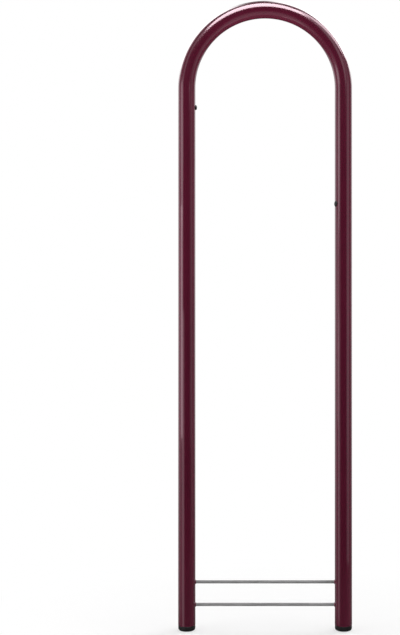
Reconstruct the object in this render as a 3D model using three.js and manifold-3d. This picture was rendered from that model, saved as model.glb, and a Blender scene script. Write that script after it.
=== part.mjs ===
// A hoop bike rack that is cast into the ground: one steel tube bent into an inverted U, two thin
// anchor rods welded across the legs near their feet, a plastic cap in each foot, and a small plug in
// the vent hole of each leg.
//
// Millimetres, +Z up. The origin lies between the legs, on the plane of the undersides of the foot
// caps. X runs from the left leg to the right leg, and the front of the rack faces -Y.

import * as THREE from "three";
import { mergeVertices, toCreasedNormals } from "three/addons/utils/BufferGeometryUtils.js";
import Module from "manifold-3d";

const wasm = await Module();
wasm.setup();

// Rack: the height runs from the undersides of the caps to the top of the bend, and the spacing from
// the axis of one leg to that of the other.
const rackHeight = 1224;
const legSpacing = 304.8;

// Tube: 1 inch nominal pipe.
const tubeDiameter = 33.4;
const tubeWall = 3.4;

// Clearances: beside a shank in its hole, and under a piece that sits on another.
const fitGap = 0.3;
const seatGap = 0.3;

// Anchor rods: the lower one's height is above the tube's cut ends, and the ends of both reach into
// the bores of the legs.
const rodDiameter = 6.35;
const rodChamfer = 0.6;
const rodEntry = 7;
const lowerRodHeight = 40;
const rodPitch = 44;

// Weld fillets round the rods: how far each spreads over the leg, how far it reaches along the rod, and
// the flat land that it leaves beside the rod. The bulge lies between a straight slope and a quarter
// circle.
const weldSpread = 1.3;
const weldReach = 1.7;
const weldLand = 0.5;
const weldBulgeShare = 0.4;

// Foot caps: the head closes the tube's cut end. A ribbed cup grips the bore, and takes up part of what
// is free of it below the lower rod.
const capHeadHeight = 9.5;
const capRimShare = 0.5;
const capShoulderShare = 0.12;
const capFloor = 3.4;
const capCupShare = 0.5;
const capCupWall = 2;
const capLeadIn = 1.2;
const capRibDepth = 0.9;
const capRibCount = 3;

// Where each rib starts in its stretch of the cup, and how much of that stretch its slope takes.
const ribFootShare = 0.3;
const ribSlopeShare = 0.5;

// Vent plugs: the holes face the other leg. The barb catches behind the tube's wall. Each head laps
// over the rim of its hole, and sits at a drop below the start of the bend.
const ventHoleDiameter = 6.4;
const plugBarbSpread = 0.7;
const plugBarbLength = 3.2;
const plugSideShare = 0.3;
const leftPlug = { headLap: 1.6, headProud: 3, drop: 38, turnDegrees: 0 };
const rightPlug = { headLap: 2.3, headProud: 1.2, drop: 226, turnDegrees: 24 };

// How far a cutting or covered stretch runs past the surface that it crosses.
const overrun = 2;

// Facets round each piece, steps along each arc, and the angle up to which an edge is shaded smoothly.
const tubeFacets = 36;
const bendSteps = 36;
const rodFacets = 18;
const weldFacets = 20;
const plugFacets = 20;
const capFacets = 36;
const arcSteps = 4;
const smoothDegrees = 35;

// Sizes and places that follow.
const tubeRadius = tubeDiameter / 2;
const boreRadius = tubeRadius - tubeWall;
const seatRadius = tubeRadius + seatGap;
const rodRadius = rodDiameter / 2;
const rodHoleRadius = rodRadius + fitGap;
const ventHoleRadius = ventHoleDiameter / 2;
const bendRadius = legSpacing / 2;
const bendStart = rackHeight - tubeRadius - bendRadius;
const tubeEnd = capHeadHeight + seatGap;
const capCupLength = capCupShare * (lowerRodHeight - rodRadius);

// The two heights of rod. The two legs, with the turn about +Z that makes each look at the other.
const rodLevels = [
  { name: "lower", height: tubeEnd + lowerRodHeight },
  { name: "upper", height: tubeEnd + lowerRodHeight + rodPitch },
];
const legs = [
  { name: "left", x: -bendRadius, turn: 0, plug: leftPlug },
  { name: "right", x: bendRadius, turn: Math.PI, plug: rightPlug },
];

// Materials
const burgundyPaint = new THREE.MeshStandardMaterial({ color: 0x4c1828, roughness: 0.22, metalness: 0.1 });
const bareSteel = new THREE.MeshStandardMaterial({ color: 0x8c8c8c, roughness: 0.4, metalness: 1 });
const blackPlastic = new THREE.MeshStandardMaterial({ color: 0x151214, roughness: 0.5, metalness: 0 });

// A closed geometry as a solid that can be joined and cut.
function solidOf(geometry) {
  const bare = geometry.clone();
  bare.deleteAttribute("normal");
  bare.deleteAttribute("uv");
  const merged = mergeVertices(bare);
  const vertProperties = merged.attributes.position.array;
  const triVerts = new Uint32Array(merged.index.array);
  return new wasm.Manifold(new wasm.Mesh({ numProp: 3, vertProperties, triVerts }));
}

// The solid as a geometry again, shaded smoothly except over its sharp edges.
function geometryOf(solid) {
  const mesh = solid.getMesh();
  const geometry = new THREE.BufferGeometry();
  geometry.setAttribute("position", new THREE.BufferAttribute(mesh.vertProperties, mesh.numProp));
  geometry.setIndex(new THREE.BufferAttribute(mesh.triVerts, 1));
  return toCreasedNormals(geometry, THREE.MathUtils.degToRad(smoothDegrees));
}

// Turns an outline of [radius, distance along the axis] points about the +Z axis.
function turnedAboutZ(outline, facets) {
  const points = outline.map(([radius, along]) => new THREE.Vector2(radius, along));
  return new THREE.LatheGeometry(points, facets).rotateX(Math.PI / 2);
}

// The same about the +X axis.
function turnedAboutX(outline, facets) {
  return turnedAboutZ(outline, facets).rotateY(Math.PI / 2);
}

// A plain cylinder's outline, from one place along the axis to another.
function cylinder(radius, from, to) {
  return [[0, from], [radius, from], [radius, to], [0, to]];
}

// The angles from 0 to a quarter turn, in even steps.
function quarterTurn() {
  return Array.from({ length: arcSteps + 1 }, (_, step) => ((step / arcSteps) * Math.PI) / 2);
}

// What remains outside a leg and its clearance, of a geometry that is no wider than the given reach up
// and down the leg. The leg's axis is +Z.
function cutByLeg(geometry, reach) {
  const leg = turnedAboutZ(cylinder(seatRadius, -reach - overrun, reach + overrun), tubeFacets);
  return solidOf(geometry).subtract(solidOf(leg));
}

// Hoop tube: its centreline runs up the left leg, round the bend and down the right leg. One step in
// the parameter is a straight leg, and the rest are the bend.
class HoopCentreline extends THREE.Curve {
  constructor() {
    super();
    this.steps = bendSteps + 2;
  }

  getPoint(t, target = new THREE.Vector3()) {
    const step = t * this.steps;
    if (step < 1) {
      return target.set(-bendRadius, 0, THREE.MathUtils.lerp(tubeEnd, bendStart, step));
    }
    if (step > this.steps - 1) {
      return target.set(bendRadius, 0, THREE.MathUtils.lerp(tubeEnd, bendStart, this.steps - step));
    }
    const angle = this.bendAngle(t);
    return target.set(-bendRadius * Math.cos(angle), 0, bendStart + bendRadius * Math.sin(angle));
  }

  getTangent(t, target = new THREE.Vector3()) {
    const angle = THREE.MathUtils.clamp(this.bendAngle(t), 0, Math.PI);
    return target.set(Math.sin(angle), 0, Math.cos(angle));
  }

  getUtoTmapping(u) {
    return u;
  }

  // The angle round the bend, from 0 where it leaves the left leg to half a turn at the right one.
  bendAngle(t) {
    return ((t * this.steps - 1) / bendSteps) * Math.PI;
  }
}

function hoopTube() {
  const section = new THREE.Shape().absarc(0, 0, tubeRadius, 0, 2 * Math.PI);
  section.holes.push(new THREE.Path().absarc(0, 0, boreRadius, 0, 2 * Math.PI));
  const centreline = new HoopCentreline();
  const swept = new THREE.ExtrudeGeometry(section, {
    curveSegments: tubeFacets / 2,
    steps: centreline.steps,
    extrudePath: centreline,
  });
  const drills = [...rodLevels.map(rodDrill), ...legs.map(ventDrill)];
  return geometryOf(drills.reduce((tube, drill) => tube.subtract(solidOf(drill)), solidOf(swept)));
}

// One drill through the inner walls of both legs, from axis to axis.
function rodDrill({ height }) {
  const outline = cylinder(rodHoleRadius, -bendRadius, bendRadius);
  return turnedAboutX(outline, rodFacets).translate(0, 0, height);
}

// A drill from a leg's axis out through the wall, where that leg's plug sits.
function ventDrill({ x, turn, plug }) {
  return turnedAboutX(cylinder(ventHoleRadius, 0, tubeRadius + overrun), plugFacets)
    .rotateZ(turn + THREE.MathUtils.degToRad(plug.turnDegrees))
    .translate(x, 0, bendStart - plug.drop);
}

// Foot cap: a rounded head under the tube's cut end, and an open cup with ribs round it in the bore.
function footCap() {
  const rimRadius = capRimShare * capHeadHeight;
  const shoulder = capShoulderShare * capHeadHeight;
  const ribRadius = boreRadius - fitGap;
  const cupRadius = ribRadius - capRibDepth;
  const mouthRadius = cupRadius - capLeadIn;
  const hollowRadius = mouthRadius - capCupWall;
  const cupTop = tubeEnd + capCupLength;
  const rim = quarterTurn().map((angle) => [
    tubeRadius - rimRadius + rimRadius * Math.sin(angle),
    rimRadius - rimRadius * Math.cos(angle),
  ]);
  const ribPitch = (cupTop - capLeadIn - capHeadHeight) / capRibCount;
  const ribs = Array.from({ length: capRibCount }, (_, rib) => {
    const foot = capHeadHeight + (rib + ribFootShare) * ribPitch;
    return [[cupRadius, foot], [ribRadius, foot], [cupRadius, foot + ribSlopeShare * ribPitch]];
  });
  const outline = [
    [0, 0],
    ...rim,
    [tubeRadius, capHeadHeight - shoulder],
    [tubeRadius - shoulder, capHeadHeight],
    [cupRadius, capHeadHeight],
    ...ribs.flat(),
    [cupRadius, cupTop - capLeadIn],
    [mouthRadius, cupTop],
    [hollowRadius, cupTop],
    [hollowRadius, capFloor],
    [0, capFloor],
  ];
  return geometryOf(solidOf(turnedAboutZ(outline, capFacets)));
}

// Anchor rod: straight, along X, with its end edges broken.
function anchorRod() {
  const end = bendRadius - boreRadius + rodEntry;
  const tip = rodRadius - rodChamfer;
  const outline = [
    [0, -end],
    [tip, -end],
    [rodRadius, rodChamfer - end],
    [rodRadius, end - rodChamfer],
    [tip, end],
    [0, end],
  ];
  return geometryOf(solidOf(turnedAboutX(outline, rodFacets)));
}

// Weld fillet: a ring round the rod where it enters the leg. The leg's axis is Z, and the rod runs
// along +X.
function weldFillet() {
  const toeRadius = rodHoleRadius + weldLand;
  const outerRadius = toeRadius + weldSpread;
  const back = Math.sqrt(seatRadius ** 2 - outerRadius ** 2) - overrun;
  const slope = quarterTurn().map((angle, step) => {
    const spread = THREE.MathUtils.lerp(1 - step / arcSteps, Math.cos(angle), weldBulgeShare);
    const reach = THREE.MathUtils.lerp(step / arcSteps, Math.sin(angle), weldBulgeShare);
    return [toeRadius + weldSpread * spread, seatRadius + weldReach * reach];
  });
  const crest = [rodHoleRadius, seatRadius + weldReach];
  const outline = [[rodHoleRadius, back], [outerRadius, back], ...slope, crest, [rodHoleRadius, back]];
  return geometryOf(cutByLeg(turnedAboutX(outline, weldFacets), outerRadius));
}

// Vent plug: a domed head on the outside of the leg, and a shank through the wall with a barb behind
// it. The leg's axis is Z, and the plug looks along +X.
function ventPlug({ headLap, headProud }) {
  const headRadius = ventHoleRadius + headLap;
  const headSide = seatRadius + plugSideShare * headProud;
  const domeHeight = (1 - plugSideShare) * headProud;
  const headBack = Math.sqrt(seatRadius ** 2 - headRadius ** 2) - overrun;
  const dome = quarterTurn().slice(0, -1).map((angle) => [
    headRadius * Math.cos(angle),
    headSide + domeHeight * Math.sin(angle),
  ]);
  const headOutline = [[0, headBack], [headRadius, headBack], ...dome, [0, headSide + domeHeight]];
  const shankRadius = ventHoleRadius - fitGap;
  const barbRadius = ventHoleRadius + plugBarbSpread;
  const barbTop = Math.sqrt(boreRadius ** 2 - barbRadius ** 2) - seatGap;
  const shankOutline = [
    [0, barbTop - plugBarbLength],
    [shankRadius, barbTop - plugBarbLength],
    [barbRadius, barbTop],
    [shankRadius, barbTop],
    [shankRadius, headSide],
    [0, headSide],
  ];
  const head = cutByLeg(turnedAboutX(headOutline, plugFacets), headRadius);
  return geometryOf(head.add(solidOf(turnedAboutX(shankOutline, plugFacets))));
}

function meshOf(name, geometry, material) {
  const mesh = new THREE.Mesh(geometry, material);
  mesh.name = name;
  return mesh;
}

// What one leg carries, in a group on the leg's axis whose +X looks at the other leg.
function legFittings({ name, x, turn, plug }) {
  const group = new THREE.Group();
  group.position.x = x;
  group.rotation.z = turn;
  group.add(meshOf(`${name}_foot_cap`, footCap(), blackPlastic));
  for (const level of rodLevels) {
    const weld = meshOf(`${level.name}_${name}_weld`, weldFillet(), burgundyPaint);
    weld.position.z = level.height;
    group.add(weld);
  }
  const ventPlugMesh = meshOf(`${name}_vent_plug`, ventPlug(plug), blackPlastic);
  ventPlugMesh.position.z = bendStart - plug.drop;
  ventPlugMesh.rotation.z = THREE.MathUtils.degToRad(plug.turnDegrees);
  group.add(ventPlugMesh);
  return group;
}

const rack = new THREE.Group();
rack.name = "hoop_bike_rack";
rack.add(meshOf("hoop_tube", hoopTube(), burgundyPaint));
for (const { name, height } of rodLevels) {
  const rod = meshOf(`${name}_anchor_rod`, anchorRod(), bareSteel);
  rod.position.z = height;
  rack.add(rod);
}
rack.add(...legs.map(legFittings));

export default rack;
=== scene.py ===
# The looks of a hoop bike rack: a painted tube with welded anchor rods, foot caps and vent plugs, on a
# pale floor in soft studio light. Lengths are in metres, and the main sizes and places come from the
# frame.

import math

import bmesh
import bpy
from mathutils import Matrix, Quaternion, Vector

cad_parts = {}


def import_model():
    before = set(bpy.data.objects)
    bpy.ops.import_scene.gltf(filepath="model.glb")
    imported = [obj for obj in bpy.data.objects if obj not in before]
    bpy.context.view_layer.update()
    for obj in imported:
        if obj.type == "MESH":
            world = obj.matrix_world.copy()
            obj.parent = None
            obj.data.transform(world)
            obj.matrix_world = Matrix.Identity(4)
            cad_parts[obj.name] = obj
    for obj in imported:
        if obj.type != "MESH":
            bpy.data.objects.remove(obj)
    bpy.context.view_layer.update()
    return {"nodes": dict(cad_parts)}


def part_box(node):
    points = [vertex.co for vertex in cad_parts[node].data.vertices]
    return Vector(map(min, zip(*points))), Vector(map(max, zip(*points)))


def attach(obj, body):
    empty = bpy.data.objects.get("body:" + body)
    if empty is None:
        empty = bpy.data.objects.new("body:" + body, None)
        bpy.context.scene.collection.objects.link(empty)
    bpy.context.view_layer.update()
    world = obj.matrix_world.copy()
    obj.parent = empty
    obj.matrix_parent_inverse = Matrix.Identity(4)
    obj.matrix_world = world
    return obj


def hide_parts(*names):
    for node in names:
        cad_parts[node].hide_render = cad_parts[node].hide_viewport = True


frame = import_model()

MM = 0.001

# Tube: its sizes and places come from the frame, and its wall and rounded ends are a real pipe's
tube_low, tube_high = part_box("hoop_tube")
TUBE_RADIUS = (tube_high.y - tube_low.y) / 2
BEND_RADIUS = tube_high.x - TUBE_RADIUS
BEND_START = tube_high.z - TUBE_RADIUS - BEND_RADIUS
TUBE_END = tube_low.z
LEG_LENGTH = BEND_START - TUBE_END
BEND_LENGTH = math.pi * BEND_RADIUS
TUBE_LENGTH = 2 * LEG_LENGTH + BEND_LENGTH
TUBE_WALL = 3.4 * MM
BORE_RADIUS = TUBE_RADIUS - TUBE_WALL
END_ROUNDING = 1.1 * MM
BORE_ROUNDING = 0.5 * MM

# How the pieces are divided, shaded and cleaned. A leg's rings lie close together near a hole.
TUBE_SIDES = 128
BEND_STEPS = 128
ROUNDING_STEPS = 6
ROD_SIDES = 48
CAP_SIDES = 128
PLUG_SIDES = 64
BEAD_STEPS = 132
LEG_STEP = 30 * MM
HOLE_STEP = 1.5 * MM
HOLE_REACH = 9 * MM
SHARP_ANGLE = math.radians(32)
MERGE_GAP = 0.001 * MM

# Clearance of each piece in its hole or bore
FIT_GAP = 0.3 * MM

# Anchor rods
ROD_LEVELS = ("lower", "upper")
ROD_CHAMFER = 0.6 * MM

# Weld beads: the spread over the leg, the reach along the rod, and the ripples that the torch leaves
BEAD_SPREAD = 1.5 * MM
BEAD_REACH = 1.8 * MM
BEAD_ARC_STEPS = 10
BEAD_SWELL = 0.25 * MM
BEAD_SINK = 0.3 * MM
RIPPLES = 26
RIPPLE_DEPTH = 0.16 * MM
RIPPLE_LAG = 0.75

# Foot caps
CAP_INSET = 0.12 * MM
CAP_HEAD_HEIGHT = 9.5 * MM
CAP_RIM = 4.75 * MM
CAP_SHOULDER = 1.1 * MM
CAP_SEAM = 0.12 * MM
CAP_SEAM_HEIGHT = 6.6 * MM
CAP_FLOOR = 3.4 * MM
CAP_CUP_WALL = 2 * MM
CAP_LEAD_IN = 1.2 * MM
CAP_RIB_DEPTH = 0.9 * MM
CAP_RIBS = 3
CAP_RIB_START_SHARE = 0.3
CAP_RIB_LENGTH_SHARE = 0.5
GATE_RADIUS = 1.6 * MM
GATE_DEPTH = 0.35 * MM
GATE_FLOOR_SHARE = 0.6

# Vent plugs
PLUG_HOLE_RADIUS = 3.2 * MM
PLUG_BARB_SPREAD = 0.7 * MM
PLUG_BARB_LENGTH = 3.2 * MM
PLUG_EDGE = 0.35 * MM
PLUG_SIDE_SHARE = 0.3
PLUG_DIMPLE_SHARE = 0.3
PLUG_DIMPLE_FLOOR_SHARE = 0.7
PLUG_DIMPLE_DEPTH = 0.25 * MM

# Floor: a disc whose shading shows near the rack and melts into white towards its rim. The shares are
# those of white near the rack, of the radius at which it starts to melt, and of gloss that it lets by.
FLOOR_RADIUS = 0.62
FLOOR_DROP = 0.3 * MM
FLOOR_RINGS = 24
FLOOR_WHITE_SHARE = 0.55
FLOOR_MELT_SHARE = 0.35
FLOOR_CLEAR_SHARE = 0.96

# Photograph: its frame, the pixels of the rack's middle and of the feet's level, and its scale, which
# the spacing of the legs gives
PHOTO_WIDTH = 400
PHOTO_HEIGHT = 635
PHOTO_MIDDLE_X = 265.1
PHOTO_FEET_Y = 630.0
METRES_PER_PIXEL = 1.9464 * MM

# Camera
CAMERA_DISTANCE = 2.25
SENSOR_WIDTH_MM = 36


def smooth(mesh):
    """Shades a mesh smoothly, apart from its sharp edges."""
    mesh.shade_smooth()
    mesh.set_sharp_from_angle(angle=SHARP_ANGLE)


def skinned(name, rings, closed=False):
    """An object whose rings of points are joined in order. A ring of one point is a pole. A closed
    skin joins its last ring to its first."""
    bm = bmesh.new()
    rows = [[bm.verts.new(point) for point in ring] for ring in rings]
    for row, after in zip(rows, rows[1:] + rows[:1] * closed):
        count = max(len(row), len(after))
        for i in range(count):
            j = (i + 1) % count
            if len(row) == 1:
                corners = (row[0], after[j], after[i])
            elif len(after) == 1:
                corners = (row[i], row[j], after[0])
            else:
                corners = (row[i], row[j], after[j], after[i])
            bm.faces.new(corners)
    bmesh.ops.recalc_face_normals(bm, faces=bm.faces)
    mesh = bpy.data.meshes.new(name)
    bm.to_mesh(mesh)
    bm.free()
    smooth(mesh)
    made = bpy.data.objects.new(name, mesh)
    bpy.context.scene.collection.objects.link(made)
    return made


def turned(name, outline, sides, place):
    """An object turned about +Z from an outline of (radius, distance along the axis), then placed by
    a matrix. It is closed if the outline starts and ends on the axis."""
    rings = []
    for radius, along in outline:
        turns = [2 * math.pi * i / sides for i in range(sides)] if radius else [0]
        points = (Vector((radius * math.cos(turn), radius * math.sin(turn), along)) for turn in turns)
        rings.append([place @ point for point in points])
    return skinned(name, rings)


def arc(centre, radius, start, end, steps):
    """Points of (radius, along) round an arc, with its angles in degrees from the radius's axis."""
    out, along = centre
    angles = [math.radians(start + (end - start) * i / steps) for i in range(steps + 1)]
    return [(out + radius * math.cos(angle), along + radius * math.sin(angle)) for angle in angles]


def dressed(piece, node, material):
    """The piece stands for a CAD node, rides with the rack and gets its material."""
    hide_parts(node)
    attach(piece, "root")
    piece.data.materials.append(material)


def drill(name, radius, reach, sides, place):
    """A cylinder that cuts a hole, from the axis of a leg outwards."""
    return turned(name, [(0, 0), (radius, 0), (radius, reach), (0, reach)], sides, place)


def drilled(piece, drills):
    """Cuts the drills out of the piece, and deletes them. Points that fall together at a hole's edge
    become one, so that no face without area is left."""
    for each in drills:
        cut = piece.modifiers.new(each.name, "BOOLEAN")
        cut.operation = "DIFFERENCE"
        cut.solver = "EXACT"
        cut.object = each
    evaluated = piece.evaluated_get(bpy.context.evaluated_depsgraph_get())
    mesh = bpy.data.meshes.new_from_object(evaluated)
    bm = bmesh.new()
    bm.from_mesh(mesh)
    bmesh.ops.remove_doubles(bm, verts=bm.verts, dist=MERGE_GAP)
    bm.to_mesh(mesh)
    bm.free()
    mesh.name = piece.data.name
    piece.modifiers.clear()
    piece.data = mesh
    for each in drills:
        bpy.data.objects.remove(each)
    smooth(mesh)


class Leg:
    """One leg: its name, its axis, the turn about +Z that looks at the other leg, and the place and
    size of its vent plug. The plug's top is measured from the leg's axis."""

    def __init__(self, name, side):
        self.name = name
        self.x = side * BEND_RADIUS
        self.turn = 0 if side < 0 else math.pi
        self.plug = f"{name}_vent_plug"
        low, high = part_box(self.plug)
        self.plug_height = (low.z + high.z) / 2
        self.plug_head_radius = (high.z - low.z) / 2
        points = [vertex.co for vertex in frame["nodes"][self.plug].data.vertices]
        heading = sum(points, Vector()) / len(points) - Vector((self.x, 0, self.plug_height))
        self.plug_turn = math.atan2(heading.y, heading.x)
        outward = Vector((math.cos(self.plug_turn), math.sin(self.plug_turn), 0))
        self.plug_top = max((point - Vector((self.x, 0, 0))).dot(outward) for point in points)

    def at(self, height, turn=None):
        """The matrix that takes +Z to a heading square to the leg, from the leg's axis at a height."""
        heading = self.turn if turn is None else turn
        upright = Matrix.Rotation(heading, 4, "Z") @ Matrix.Rotation(math.pi / 2, 4, "Y")
        return Matrix.Translation((self.x, 0, height)) @ upright


LEGS = (Leg("left", -1), Leg("right", 1))


def rod_box(level):
    """The rod's height, radius and half length, from the frame."""
    low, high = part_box(f"{level}_anchor_rod")
    return (low.z + high.z) / 2, (high.z - low.z) / 2, high.x


def hoop_point(along, radius, turn):
    """A point of the tube: its distance along the centreline from the left foot, and its radius and
    turn about that line. A turn of 0 looks out of the hoop."""
    angle = min(max((along - LEG_LENGTH) / BEND_RADIUS, 0), math.pi)
    outward = Vector((-math.cos(angle), 0, math.sin(angle)))
    centre = Vector((0, 0, BEND_START)) + BEND_RADIUS * outward
    if along < LEG_LENGTH:
        centre.z = TUBE_END + along
    if along > LEG_LENGTH + BEND_LENGTH:
        centre.z = TUBE_END + TUBE_LENGTH - along
    return centre + radius * (math.cos(turn) * outward + math.sin(turn) * Vector((0, 1, 0)))


def leg_stations(leg):
    """Distances from a leg's end at which the tube has a ring: close together round each hole."""
    holes = [rod_box(level)[0] for level in ROD_LEVELS] + [leg.plug_height]
    steps = int(LEG_LENGTH / LEG_STEP)
    heights = [TUBE_END + LEG_STEP * i for i in range(1, steps + 1)]
    heights = [z for z in heights if min(abs(z - hole) for hole in holes) > HOLE_REACH + HOLE_STEP]
    near = int(HOLE_REACH / HOLE_STEP)
    heights += [hole + HOLE_STEP * i for hole in holes for i in range(-near, near + 1)]
    return [z - TUBE_END for z in sorted(heights)]


def painted_tube():
    """The bent tube with its bore, its rounded cut ends and the holes for rods and plugs."""
    left, right = (leg_stations(leg) for leg in LEGS)
    bend = [LEG_LENGTH + BEND_LENGTH * i / BEND_STEPS for i in range(BEND_STEPS + 1)]
    run = left + bend + [TUBE_LENGTH - along for along in reversed(right)]
    outer_end = arc((TUBE_RADIUS - END_ROUNDING, END_ROUNDING), END_ROUNDING, -90, 0, ROUNDING_STEPS)
    bore_end = arc((BORE_RADIUS + BORE_ROUNDING, BORE_ROUNDING), BORE_ROUNDING, 180, 270, ROUNDING_STEPS)
    outline = [(along, radius) for radius, along in outer_end]
    outline += [(along, TUBE_RADIUS) for along in run]
    outline += [(TUBE_LENGTH - along, radius) for radius, along in reversed(outer_end)]
    outline += [(TUBE_LENGTH - along, radius) for radius, along in reversed(bore_end)]
    outline += [(along, BORE_RADIUS) for along in reversed(run)]
    outline += [(along, radius) for radius, along in bore_end]
    turns = [2 * math.pi * i / TUBE_SIDES for i in range(TUBE_SIDES)]
    rings = [[hoop_point(along, radius, turn) for turn in turns] for along, radius in outline]
    tube = skinned("painted_tube", rings, closed=True)
    drills = []
    for level in ROD_LEVELS:
        height, radius, _ = rod_box(level)
        place = LEGS[0].at(height)
        drills.append(drill(f"{level}_drill", radius + FIT_GAP, 2 * BEND_RADIUS, ROD_SIDES, place))
    for leg in LEGS:
        place = leg.at(leg.plug_height, leg.plug_turn)
        drills.append(drill(f"{leg.name}_drill", PLUG_HOLE_RADIUS, 2 * TUBE_RADIUS, PLUG_SIDES, place))
    drilled(tube, drills)
    return tube


def anchor_rod(level):
    """A straight drawn rod with its end edges broken."""
    height, radius, end = rod_box(level)
    tip = radius - ROD_CHAMFER
    outline = [(0, -end), (tip, -end), (radius, ROD_CHAMFER - end)]
    outline += [(radius, -along) for radius, along in reversed(outline)]
    place = Matrix.Translation((0, 0, height)) @ Matrix.Rotation(math.pi / 2, 4, "Y")
    return turned(f"{level}_rod", outline, ROD_SIDES, place)


def over_leg(radius, turn, lift):
    """A point at a radius and turn about +Z, which is square to a leg, lifted off the leg's wall."""
    across = radius * math.sin(turn)
    wall = math.sqrt(TUBE_RADIUS**2 - across**2)
    return Vector((radius * math.cos(turn), across, wall + lift))


def weld_bead(level, leg):
    """A rippled fillet between rod and leg. Its inner edge lies on the rod, and its outer edge follows
    the round of the leg, both sunk a little."""
    height, rod_radius, _ = rod_box(level)
    place = leg.at(height)
    root = rod_radius - BEAD_SINK
    rings = []
    for i in range(BEAD_STEPS):
        turn = 2 * math.pi * i / BEAD_STEPS
        ring = []
        for j in range(BEAD_ARC_STEPS + 1):
            share = j / BEAD_ARC_STEPS
            bulge = math.sin(math.pi * share)
            phase = RIPPLES * turn + 2 * math.pi * RIPPLE_LAG * bulge
            ripple = RIPPLE_DEPTH * bulge * (1 - abs(math.cos(phase / 2)))
            swell = BEAD_SWELL * bulge - ripple
            radius = root + (BEAD_SPREAD + BEAD_SINK) * (1 - share) + swell
            lift = (BEAD_REACH + BEAD_SINK) * share - BEAD_SINK + swell
            ring.append(place @ over_leg(radius, turn, lift))
        ring.append(place @ over_leg(root, turn, -BEAD_SINK))
        rings.append(ring)
    return skinned(f"{level}_{leg.name}_bead", rings, closed=True)


def foot_cap(leg):
    """A moulded cap: a rounded head with its parting line, and a ribbed cup in the bore."""
    _, cap_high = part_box(f"{leg.name}_foot_cap")
    top = cap_high.z
    side = TUBE_RADIUS - CAP_INSET
    rib_radius = BORE_RADIUS - FIT_GAP
    cup = rib_radius - CAP_RIB_DEPTH
    hollow = cup - CAP_LEAD_IN - CAP_CUP_WALL
    outline = [(0, GATE_DEPTH), (GATE_FLOOR_SHARE * GATE_RADIUS, GATE_DEPTH), (GATE_RADIUS, 0)]
    outline += arc((side - CAP_RIM, CAP_RIM), CAP_RIM, -90, 0, 2 * ROUNDING_STEPS)
    outline += arc((side, CAP_SEAM_HEIGHT), CAP_SEAM, -90, 90, ROUNDING_STEPS)
    shoulder = (side - CAP_SHOULDER, CAP_HEAD_HEIGHT - CAP_SHOULDER)
    outline += arc(shoulder, CAP_SHOULDER, 0, 90, ROUNDING_STEPS)
    outline += [(cup, CAP_HEAD_HEIGHT)]
    pitch = (top - CAP_LEAD_IN - CAP_HEAD_HEIGHT) / CAP_RIBS
    for rib in range(CAP_RIBS):
        foot = CAP_HEAD_HEIGHT + (rib + CAP_RIB_START_SHARE) * pitch
        outline += [(cup, foot), (rib_radius, foot), (cup, foot + CAP_RIB_LENGTH_SHARE * pitch)]
    outline += [(cup, top - CAP_LEAD_IN), (cup - CAP_LEAD_IN, top), (hollow, top)]
    outline += [(hollow, CAP_FLOOR), (0, CAP_FLOOR)]
    return turned(f"{leg.name}_cap", outline, CAP_SIDES, Matrix.Translation((leg.x, 0, 0)))


def vent_plug(leg):
    """A moulded plug: a domed head with a soft edge and a dimple, on a shank with a barb."""
    head = leg.plug_head_radius
    seat = math.sqrt(TUBE_RADIUS**2 - head**2)
    side = TUBE_RADIUS + PLUG_SIDE_SHARE * (leg.plug_top - TUBE_RADIUS)
    shank = PLUG_HOLE_RADIUS - FIT_GAP
    barb = PLUG_HOLE_RADIUS + PLUG_BARB_SPREAD
    barb_top = math.sqrt(BORE_RADIUS**2 - barb**2) - FIT_GAP
    dimple = PLUG_DIMPLE_SHARE * head
    steps = 2 * ROUNDING_STEPS
    rises = [math.pi / 2 * i / steps for i in range(steps + 1)]
    bulge = leg.plug_top - side
    dome = [(head * math.cos(rise), side + bulge * math.sin(rise)) for rise in rises]
    dome = [(radius, along) for radius, along in dome if radius > dimple]
    outline = [(0, barb_top - PLUG_BARB_LENGTH), (shank, barb_top - PLUG_BARB_LENGTH)]
    outline += [(barb, barb_top), (shank, barb_top), (shank, seat - FIT_GAP)]
    outline += [(head - PLUG_EDGE, seat - FIT_GAP), (head, seat + PLUG_EDGE)] + dome
    rim = dome[-1][1]
    dimple_floor = rim - PLUG_DIMPLE_DEPTH
    outline += [(dimple, rim), (PLUG_DIMPLE_FLOOR_SHARE * dimple, dimple_floor), (0, dimple_floor)]
    return turned(f"{leg.name}_plug", outline, PLUG_SIDES, leg.at(leg.plug_height, leg.plug_turn))


class Graph:
    """A node tree, with short calls for the nodes that materials and the world share."""

    def __init__(self, tree):
        self.tree = tree

    def feed(self, socket, value):
        """Sets a socket to a number or a tuple, or links another socket to it."""
        if isinstance(value, bpy.types.NodeSocket):
            self.tree.links.new(value, socket)
        else:
            socket.default_value = value

    def node(self, kind, *values):
        """A new node whose first inputs are set or linked."""
        made = self.tree.nodes.new(f"ShaderNode{kind}")
        for socket, value in zip(made.inputs, values):
            self.feed(socket, value)
        return made

    def math(self, operation, *values):
        """One step of arithmetic, on numbers or sockets."""
        made = self.node("Math", *values)
        made.operation = operation
        return made.outputs["Value"]

    def product(self, value, *others):
        """Several values multiplied."""
        for other in others:
            value = self.math("MULTIPLY", value, other)
        return value

    def total(self, value, *others):
        """Several values added up."""
        for other in others:
            value = self.math("ADD", value, other)
        return value

    def span(self, value, reach, result):
        """Maps a value from one range, its reach, to a range of results, clamped, with soft ends."""
        made = self.node("MapRange")
        made.interpolation_type = "SMOOTHSTEP"
        names = ("Value", "From Min", "From Max", "To Min", "To Max")
        for name, number in zip(names, (value, *reach, *result)):
            self.feed(made.inputs[name], number)
        return made.outputs["Result"]

    def zone(self, *spans):
        """Several spans multiplied, each given as its value, its reach and its result."""
        return self.product(*[self.span(*span) for span in spans])

    def either(self, factor, first, second):
        """Mixes two shaders by a factor."""
        return self.node("MixShader", factor, first, second).outputs["Shader"]


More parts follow.
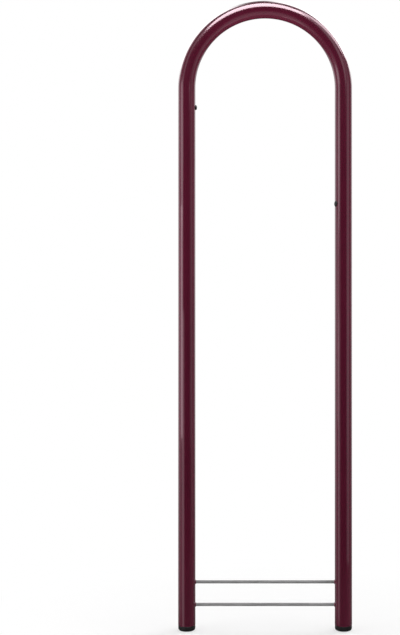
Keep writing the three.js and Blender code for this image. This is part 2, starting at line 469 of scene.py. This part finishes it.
class Finish(Graph):
    """A material's node tree, with its shader and object coordinates."""

    def __init__(self, name):
        self.material = bpy.data.materials.new(name)
        self.material.use_nodes = True
        super().__init__(self.material.node_tree)
        self.shader = self.tree.nodes["Principled BSDF"]
        self.place = self.node("TexCoord").outputs["Object"]

    def give(self, **values):
        """Sets or links the shader's sockets, such as coat_weight for Coat Weight."""
        for name, value in values.items():
            self.feed(self.shader.inputs[name.replace("_", " ").title().replace("Ior", "IOR")], value)

    def noise(self, scale, detail, stretch=(1, 1, 1)):
        """Noise over the material, with its scale in features per metre and a stretch along each axis."""
        mapping = self.node("Mapping", self.place)
        mapping.inputs["Scale"].default_value = stretch
        texture = self.node("TexNoise", mapping.outputs["Vector"])
        texture.inputs["Scale"].default_value = scale
        texture.inputs["Detail"].default_value = detail
        return texture.outputs["Fac"]

    def patches(self, scale, detail, reach=(0.3, 0.7), result=(0, 1), stretch=(1, 1, 1)):
        """Noise whose middle values, its reach, are spread over a range of results."""
        return self.span(self.noise(scale, detail, stretch), reach, result)

    def blend(self, factor, first, second):
        """Mixes two colours by a factor."""
        made = self.node("Mix")
        made.data_type = "RGBA"
        colours = [socket for socket in made.inputs if socket.type == "RGBA"]
        for socket, value in zip([made.inputs["Factor"], *colours], (factor, first, second)):
            self.feed(socket, value)
        return next(socket for socket in made.outputs if socket.type == "RGBA")

    def bump(self, height, distance):
        """A bump of a real depth in metres."""
        made = self.node("Bump")
        made.inputs["Distance"].default_value = distance
        self.feed(made.inputs["Height"], height)
        return made.outputs["Normal"]


def tone(red, green, blue):
    """An opaque colour."""
    return (red, green, blue, 1)


def grey(value):
    """An opaque grey."""
    return tone(value, value, value)


def burgundy_paint():
    """Pigmented powder coat under clear gloss: a rosy lustre below, a crisp reflection above, a faint
    orange peel and slow changes of tone."""
    finish = Finish("burgundy_paint")
    deep = tone(0.071, 0.0042, 0.0165)
    bright = tone(0.078, 0.005, 0.0188)
    drift = finish.patches(scale=9, detail=3)
    peel = finish.noise(scale=330, detail=1)
    finish.give(
        base_color=finish.blend(drift, deep, bright),
        roughness=finish.patches(scale=55, detail=3, result=(0.19, 0.22)),
        ior=1.5,
        specular_tint=tone(1, 0.55, 0.7),
        coat_weight=1.0,
        coat_roughness=0.12,
        coat_ior=1.4,
        normal=finish.bump(peel, 0.007 * MM),
        coat_normal=finish.bump(peel, 0.005 * MM),
    )
    return finish.material


def bare_steel():
    """Drawn steel rod: dull grey, with streaks along it and a mottled oxide skin."""
    finish = Finish("bare_steel")
    streaks = finish.noise(scale=900, detail=2, stretch=(0.02, 1, 1))
    skin = finish.patches(scale=260, detail=5, reach=(0.35, 0.65), stretch=(0.12, 1, 1))
    finish.give(
        base_color=finish.blend(skin, grey(0.19), grey(0.26)),
        metallic=0.05,
        roughness=finish.span(streaks, (0.3, 0.7), (0.66, 0.8)),
        normal=finish.bump(streaks, 0.03 * MM),
    )
    return finish.material


def black_plastic():
    """Moulded polyethylene: near black, with a fine matt grain."""
    finish = Finish("black_plastic")
    dark = tone(0.005, 0.004, 0.0045)
    lighter = tone(0.009, 0.0075, 0.0085)
    cloud = finish.patches(scale=300, detail=3, reach=(0.35, 0.65))
    grain = finish.noise(scale=2600, detail=2)
    finish.give(
        base_color=finish.blend(cloud, dark, lighter),
        roughness=finish.span(cloud, (0, 1), (0.52, 0.64)),
        ior=1.5,
        specular_ior_level=0.25,
        normal=finish.bump(grain, 0.02 * MM),
    )
    return finish.material


def build_rack():
    """Every piece of the rack, each in place of its CAD node."""
    paint, steel, plastic = burgundy_paint(), bare_steel(), black_plastic()
    dressed(painted_tube(), "hoop_tube", paint)
    for level in ROD_LEVELS:
        dressed(anchor_rod(level), f"{level}_anchor_rod", steel)
    for leg in LEGS:
        dressed(foot_cap(leg), f"{leg.name}_foot_cap", plastic)
        dressed(vent_plug(leg), leg.plug, plastic)
        for level in ROD_LEVELS:
            dressed(weld_bead(level, leg), f"{level}_{leg.name}_weld", paint)


def floor():
    """A round pale floor under the rack. To the camera it melts into the white beyond its rim, and it
    keeps the rack's shadow. Gloss looks through it at the studio round the rack."""
    outline = [(FLOOR_RADIUS * i / FLOOR_RINGS, -FLOOR_DROP) for i in range(FLOOR_RINGS + 1)]
    sheet = turned("floor", outline, TUBE_SIDES, Matrix())
    finish = Finish("pale_floor")
    colour = finish.blend(finish.patches(scale=700, detail=3), grey(0.87), grey(0.89))
    finish.give(base_color=colour, roughness=0.9, specular_ior_level=0.2)
    away = finish.node("VectorMath", finish.place)
    away.operation = "LENGTH"
    melt = (FLOOR_MELT_SHARE * FLOOR_RADIUS, FLOOR_RADIUS)
    share = finish.span(away.outputs["Value"], melt, (FLOOR_WHITE_SHARE, 1))
    white = finish.node("Emission", grey(1), 1).outputs["Emission"]
    clear = finish.node("BsdfTransparent").outputs["BSDF"]
    path = finish.node("LightPath").outputs
    to_camera = finish.product(share, path["Is Camera Ray"])
    to_gloss = finish.product(FLOOR_CLEAR_SHARE, path["Is Glossy Ray"])
    seen = finish.either(to_camera, finish.shader.outputs["BSDF"], white)
    shown = finish.either(to_gloss, seen, clear)
    finish.feed(finish.tree.nodes["Material Output"].inputs["Surface"], shown)
    sheet.data.materials.append(finish.material)


def softbox(name, place, target, size, radiance, oval=False, roll=0, spread=180):
    """A lamp of a width and height that looks at a target, rolled about that line and held to a cone,
    both in degrees. Its radiance is that of a surface of colour 1 in full light."""
    width, height = size
    lamp = bpy.data.lights.new(name, "AREA")
    lamp.shape = "ELLIPSE" if oval else "RECTANGLE"
    lamp.size = width
    lamp.size_y = height
    lamp.spread = math.radians(spread)
    filled = math.pi / 4 if oval else 1
    cone = 1 - lamp.spread / 2 / math.tan(lamp.spread / 2)
    lamp.energy = radiance * math.pi * width * height * filled * cone
    made = bpy.data.objects.new(name, lamp)
    made.location = place
    made.rotation_mode = "QUATERNION"
    heading = (Vector(target) - Vector(place)).to_track_quat("-Z", "Y")
    made.rotation_quaternion = heading @ Quaternion((0, 0, 1), math.radians(roll))
    made.visible_camera = False
    bpy.context.scene.collection.objects.link(made)
    return made


def card(name, **traits):
    """A soft box that only shows in gloss."""
    softbox(name, **traits).visible_diffuse = False


def fill(name, **traits):
    """A soft box that only gives diffuse light."""
    softbox(name, **traits).visible_glossy = False


def lamps():
    """Cards for the paint's highlights, fills from above and from both sides, and a soft box high up
    behind the rack on the right, which gives gloss and diffuse light."""
    head = (0, 0, 1.2)
    middle = (0, 0, 0.6)
    card("high_card", place=(-0.2, -1.33, 2.93), target=head, size=(2.04, 1.93), radiance=15,
         oval=True, roll=11)
    card("right_high", place=(1.0, -0.4, 2.34), target=(0.11, 0, 1.17), size=(1.4, 0.75), radiance=7.2,
         oval=True, roll=-35)
    card("right_front", place=(0.56, -0.8, 1.74), target=(0.12, 0, 1.12), size=(0.6, 1.1), radiance=1.15,
         oval=True)
    card("left_high", place=(-1.46, -1.22, 2.3), target=(-0.1, 0, 1.1), size=(0.8, 1.7), radiance=0.8,
         oval=True)
    card("left_middle", place=(-1.62, -0.7, 1.22), target=(0.1, 0, 0.95), size=(1.1, 0.6), radiance=1.7,
         oval=True)
    card("left_card", place=(-0.3, -0.06, 0.6), target=(-0.15, 0, 0.6), size=(0.11, 0.48), radiance=2.9,
         spread=50)
    card("left_low", place=(-0.36, -0.22, 0.22), target=(-0.15, 0, 0.22), size=(0.15, 0.8), radiance=0.85)
    fill("top_box", place=(0, 0.35, 3.2), target=head, size=(2.4, 1.6), radiance=1.3)
    fill("left_fill", place=(-1.5, -0.3, 0.6), target=middle, size=(1.6, 1.7), radiance=2)
    fill("right_fill", place=(1.5, -0.6, 0.5), target=middle, size=(1.2, 1.6), radiance=1.3)
    card("right_card", place=(1.45, -0.9, 0.8), target=middle, size=(1.0, 1.3), radiance=0.25)
    card("right_edge", place=(0.29, -0.09, 0.65), target=(0.15, 0, 0.65), size=(0.11, 1.1), radiance=0.42)
    softbox("rim_box", place=(1.33, 0.93, 2.53), target=head, size=(1.2, 1.1), radiance=6)


def ambient(graph, away, up):
    """The world's strength to diffuse light, by how far a heading points away from the camera and up."""
    around = graph.zone(
        (graph.math("ABSOLUTE", away), (0.45, 0.85), (1.3, 0.3)),  # bright at the sides
        (up, (0, 0.4), (1, 0.5)),  # dimmer high up
    )
    below = graph.zone(
        (up, (-0.8, -0.4), (2.2, 0)),  # bright low down
        (away, (-0.3, 0.3), (1, 0.1)),  # mostly on the camera's side
    )
    return graph.total(around, below)


def reflected(graph, right, away, up):
    """The world's strength to gloss, by how far a heading points to the right, away from the camera
    and up."""
    dim_straight_behind = (away, (0.85, 0.97), (1, 0.35))
    backdrop = graph.zone(
        (away, (0.35, 0.6), (0, 0.9)),  # nearly white behind the rack
        dim_straight_behind,
        (up, (0.15, 0.4), (1, 2.4)),  # brighter high up
        (up, (-0.35, 0.1), (0, 1)),  # fades out below the horizon
    )
    crown = graph.zone(
        (away, (0, 0.35), (0, 1.1)),  # comes further round the rack than the backdrop
        dim_straight_behind,
        (up, (0.2, 0.45), (0, 1)),  # only high up
        (up, (0.45, 0.8), (1, 2.2)),  # brightest overhead
        (right, (-0.4, -0.1), (1.6, 1)),  # brighter on the left
        (right, (0.7, 0.82), (1, 0.2)),  # dim far on the right
    )
    gap_middle = -0.07
    aside = graph.math("ABSOLUTE", graph.math("SUBTRACT", right, gap_middle))
    gap = graph.math(
        "MAXIMUM",
        graph.span(aside, (0.05, 0.2), (0.1, 1)),  # dark in a narrow strip
        graph.span(up, (0.2, 0.4), (1, 0)),  # but not low down
    )
    behind = graph.product(graph.total(backdrop, crown), gap)
    sides = graph.span(graph.math("ABSOLUTE", away), (0.35, 0.75), (0.12, 0.02))
    left_wall = graph.zone(
        (right, (-0.82, -0.58), (0.42, 0)),  # grey on the left
        (up, (-0.33, -0.1), (0.05, 1)),  # nearly black low down
        (up, (0.17, 0.3), (1, 0.3)),  # dimmer high up
        (away, (-0.2, 0.2), (1, 0.65)),  # dimmer behind the rack
    )
    front_floor = graph.zone(
        (up, (-0.75, -0.4), (0.42, 0)),  # grey low down
        (away, (-0.2, 0.05), (1, 0)),  # only on the camera's side
    )
    return graph.total(sides, behind, left_wall, front_floor)


def world():
    """A studio that is white to the camera. In gloss it is bright behind the rack and dark in front,
    and to diffuse light it is bright at the sides and low down in front."""
    made = bpy.data.worlds.new("studio")
    bpy.context.scene.world = made
    made.use_nodes = True
    made.node_tree.nodes.clear()
    graph = Graph(made.node_tree)
    right, away, up = graph.node("SeparateXYZ", graph.node("TexCoord").outputs["Generated"]).outputs
    strengths = (ambient(graph, away, up), reflected(graph, right, away, up), 1)
    to_diffuse, to_gloss, to_camera = (
        graph.node("Background", grey(1), strength).outputs["Background"] for strength in strengths
    )
    path = graph.node("LightPath").outputs
    shiny = graph.math("MAXIMUM", path["Is Glossy Ray"], path["Is Transmission Ray"])
    lit = graph.either(shiny, to_diffuse, to_gloss)
    graph.node("OutputWorld", graph.either(path["Is Camera Ray"], lit, to_camera))


def camera():
    """Square on, level, at the height of the picture's middle, with the rack off to the right."""
    data = bpy.data.cameras.new("camera")
    data.sensor_width = SENSOR_WIDTH_MM
    data.lens = SENSOR_WIDTH_MM * CAMERA_DISTANCE / (METRES_PER_PIXEL * PHOTO_HEIGHT)
    data.shift_x = (PHOTO_WIDTH / 2 - PHOTO_MIDDLE_X) / PHOTO_HEIGHT
    made = bpy.data.objects.new("camera", data)
    height = (PHOTO_FEET_Y - PHOTO_HEIGHT / 2) * METRES_PER_PIXEL
    made.location = (0, -CAMERA_DISTANCE, height)
    made.rotation_euler = (math.pi / 2, 0, 0)
    bpy.context.scene.collection.objects.link(made)
    bpy.context.scene.camera = made


camera()
build_rack()
floor()
lamps()
world()
bpy.context.scene.view_settings.view_transform = "Standard"
